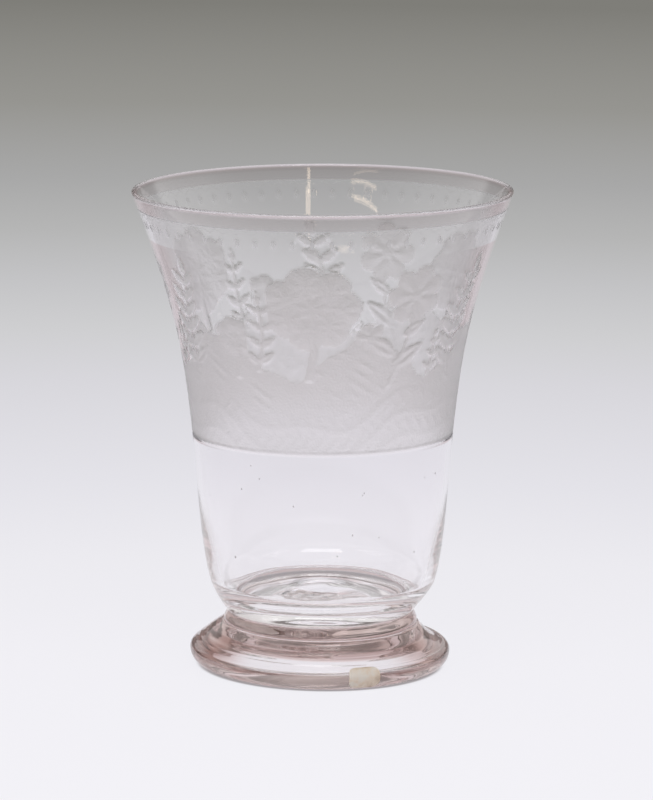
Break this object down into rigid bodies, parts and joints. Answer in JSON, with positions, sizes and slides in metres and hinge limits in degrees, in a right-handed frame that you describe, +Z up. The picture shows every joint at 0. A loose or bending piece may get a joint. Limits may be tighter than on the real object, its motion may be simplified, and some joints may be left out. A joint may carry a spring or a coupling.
{
  "type": "footed glass beaker",
  "caption": "Footed beaker of thin, faintly pink glass: a flared bowl with a matt engraved band, a wafer joint, and a spread foot with a thick round rim.",
  "frame": {"origin": "on the table, under the middle of the lip", "axes": "+Z up; the front, with the painted patch, faces -Y; +X is to the right when seen from the front"},
  "size_m": [0.09, 0.09, 0.1151],
  "materials": {
    "bowl_glass": "glossy and fire-polished inside and at the lip, with matt wheel engraving on the outside",
    "foot_glass": "glossy hot-tooled glass with faint streaks, pinkish brown where it is thick",
    "broken_glass": "rough broken glass",
    "patch_paint": "thin matt cream paint, bare"
  },
  "bodies": {
    "root": {"bowl": "bowl_glass", "junction_collar": "foot_glass", "foot": "foot_glass", "pontil_scar": "broken_glass", "inventory_patch": "patch_paint"}
  },
  "joints": []
}
